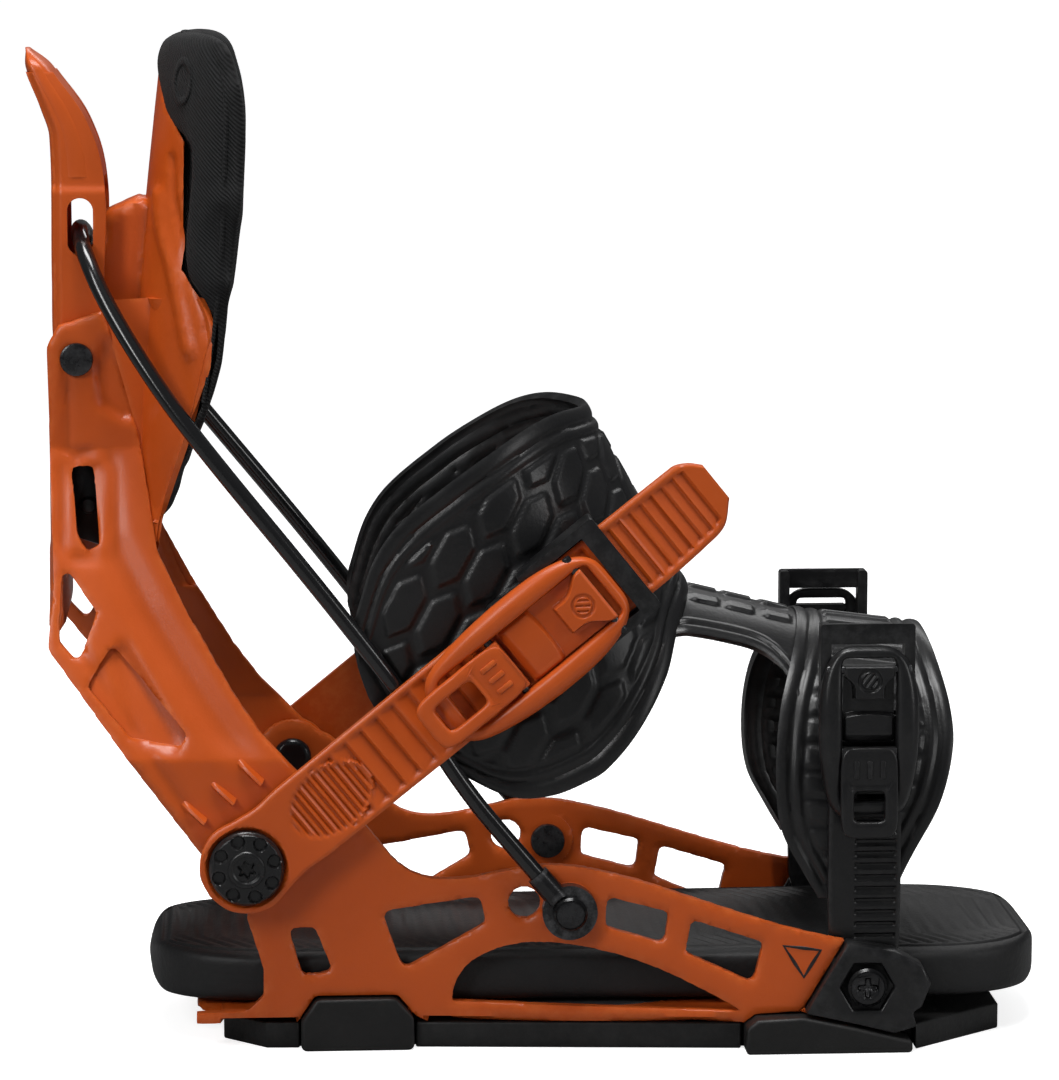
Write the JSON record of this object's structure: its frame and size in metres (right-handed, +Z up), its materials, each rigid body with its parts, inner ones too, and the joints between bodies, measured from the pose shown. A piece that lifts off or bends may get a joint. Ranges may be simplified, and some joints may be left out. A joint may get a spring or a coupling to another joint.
{
  "type": "snowboard binding",
  "caption": "Rear-entry snowboard binding with windowed base, reclining highback, release lever and cable loop, ratchet ankle and toe straps, footbed and disc mount.",
  "frame": {"origin": "centre of the four board bolts, on the board's surface", "axes": "+X towards the toe, +Y to the left, +Z up from the board"},
  "size_m": [0.338, 0.1486, 0.333],
  "materials": {
    "orange": "satin moulded plastic",
    "black_plastic": "semi-gloss moulded plastic",
    "black_steel": "black coated steel",
    "cable_coat": "glossy coated steel cable",
    "strap_rubber": "moulded flexible strap with raised ribs",
    "sole_rubber": "soft rubber",
    "footbed_foam": "ribbed foam",
    "pad_fabric": "woven twill over foam",
    "disc_plastic": "glass-filled plastic"
  },
  "bodies": {
    "root": {"baseplate": "orange", "mounting_disc": "disc_plastic", "undersole": "sole_rubber", "footbed": "footbed_foam", "heel_pad_right": "sole_rubber", "heel_pad_left": "sole_rubber", "toe_pad_right": "sole_rubber", "toe_pad_left": "sole_rubber", "toe_cap_right": "black_plastic", "toe_cap_left": "black_plastic", "toe_bolt_right": "black_steel", "toe_bolt_left": "black_steel", "pivot_bolt_right": "black_steel", "pivot_bolt_left": "black_steel", "cable_bolt_right": "black_steel", "cable_bolt_left": "black_steel"},
    "highback": {"yoke": "orange", "highback_shell": "orange", "calf_pad": "pad_fabric", "lever_pin": "black_steel", "lean_block": "black_plastic"},
    "lever": {"release_lever": "orange"},
    "cable_loop": {"cable": "cable_coat", "cable_end_right": "black_steel", "cable_end_left": "black_steel"},
    "toe_part": {"toe_strap": "strap_rubber", "strap_bridge": "strap_rubber", "toe_buckle_pins": "black_steel", "toe_ladder_right": "black_plastic", "toe_ladder_left": "black_plastic", "toe_buckle_base_right": "black_plastic", "toe_buckle_base_left": "black_plastic", "toe_buckle_right": "black_plastic", "toe_buckle_left": "black_plastic"},
    "ankle_part": {"ankle_strap": "strap_rubber", "ankle_buckle_pins": "black_steel", "ankle_ladder_right": "orange", "ankle_ladder_left": "orange", "strap_knob_right": "black_plastic", "strap_knob_left": "black_plastic", "ankle_buckle_base_right": "black_plastic", "ankle_buckle_base_left": "black_plastic", "ankle_buckle_right": "orange", "ankle_buckle_left": "orange"},
    "ankle_ratchet_right": {"ankle_ratchet_right": "orange"},
    "ankle_ratchet_left": {"ankle_ratchet_left": "orange"},
    "ankle_release_right": {"ankle_release_right": "orange"},
    "ankle_release_left": {"ankle_release_left": "orange"},
    "toe_ratchet_right": {"toe_ratchet_right": "black_plastic"},
    "toe_ratchet_left": {"toe_ratchet_left": "black_plastic"},
    "toe_release_right": {"toe_release_right": "black_plastic"},
    "toe_release_left": {"toe_release_left": "black_plastic"}
  },
  "joints": [
    {"name": "highback_recline", "type": "hinge", "parent": "root", "child": "highback", "pos_m": [-0.096, 0, 0.0785], "axis": [0, -1, 0], "range_deg": [0, 60], "deforming": ["cable"]},
    {"name": "lever_open", "type": "hinge", "parent": "highback", "child": "lever", "pos_m": [-0.166, 0, 0.225], "axis": [0, -1, 0], "range_deg": [0, 97.4]},
    {"name": "cable_swing", "type": "hinge", "parent": "root", "child": "cable_loop", "pos_m": [-0.007, 0, 0.047], "axis": [0, -1, 0], "range_deg": [0, 52.5]},
    {"name": "toe_swing", "type": "hinge", "parent": "root", "child": "toe_part", "pos_m": [0.09, 0, 0.022], "axis": [0, -1, 0], "range_deg": [-7.6, 0]},
    {"name": "ankle_flex", "type": "hinge", "parent": "toe_part", "child": "ankle_part", "pos_m": [0.04, 0, 0.138], "axis": [0, -1, 0], "range_deg": [0, 12.1]},
    {"name": "ankle_ratchet_right_turn", "type": "hinge", "parent": "ankle_part", "child": "ankle_ratchet_right", "pos_m": [-0.00048, -0.0692, 0.15381], "axis": [-0.6293, 0, 0.7771], "range_deg": [0, 60], "stiffness_Nm_per_rad": 0.05, "springref_deg": -2.86},
    {"name": "ankle_ratchet_left_turn", "type": "hinge", "parent": "ankle_part", "child": "ankle_ratchet_left", "pos_m": [-0.00048, 0.0692, 0.15381], "axis": [0.6293, 0, -0.7771], "range_deg": [0, 60], "stiffness_Nm_per_rad": 0.05, "springref_deg": -2.86},
    {"name": "ankle_release_right_turn", "type": "hinge", "parent": "ankle_part", "child": "ankle_release_right", "pos_m": [-0.02886, -0.0692, 0.13082], "axis": [-0.6293, 0, 0.7771], "range_deg": [0, 14], "stiffness_Nm_per_rad": 0.05, "springref_deg": -2.86},
    {"name": "ankle_release_left_turn", "type": "hinge", "parent": "ankle_part", "child": "ankle_release_left", "pos_m": [-0.02886, 0.0692, 0.13082], "axis": [0.6293, 0, -0.7771], "range_deg": [0, 14], "stiffness_Nm_per_rad": 0.05, "springref_deg": -2.86},
    {"name": "toe_ratchet_right_turn", "type": "hinge", "parent": "toe_part", "child": "toe_ratchet_right", "pos_m": [0.09, -0.0638, 0.1265], "axis": [-1, 0, 0], "range_deg": [0, 60], "stiffness_Nm_per_rad": 0.05, "springref_deg": -2.86},
    {"name": "toe_ratchet_left_turn", "type": "hinge", "parent": "toe_part", "child": "toe_ratchet_left", "pos_m": [0.09, 0.0638, 0.1265], "axis": [1, 0, 0], "range_deg": [0, 60], "stiffness_Nm_per_rad": 0.05, "springref_deg": -2.86},
    {"name": "toe_release_right_turn", "type": "hinge", "parent": "toe_part", "child": "toe_release_right", "pos_m": [0.09, -0.0638, 0.09866], "axis": [-1, 0, 0], "range_deg": [0, 14], "stiffness_Nm_per_rad": 0.05, "springref_deg": -2.86},
    {"name": "toe_release_left_turn", "type": "hinge", "parent": "toe_part", "child": "toe_release_left", "pos_m": [0.09, 0.0638, 0.09866], "axis": [1, 0, 0], "range_deg": [0, 14], "stiffness_Nm_per_rad": 0.05, "springref_deg": -2.86}
  ],
  "couplings": [
    {"joint": "lever_open", "follows": "highback_recline", "ratio": 1.6133},
    {"joint": "cable_swing", "follows": "highback_recline", "ratio": 0.8663},
    {"joint": "toe_swing", "follows": "highback_recline", "ratio": -0.1182},
    {"joint": "ankle_flex", "follows": "highback_recline", "ratio": 0.1929}
  ]
}
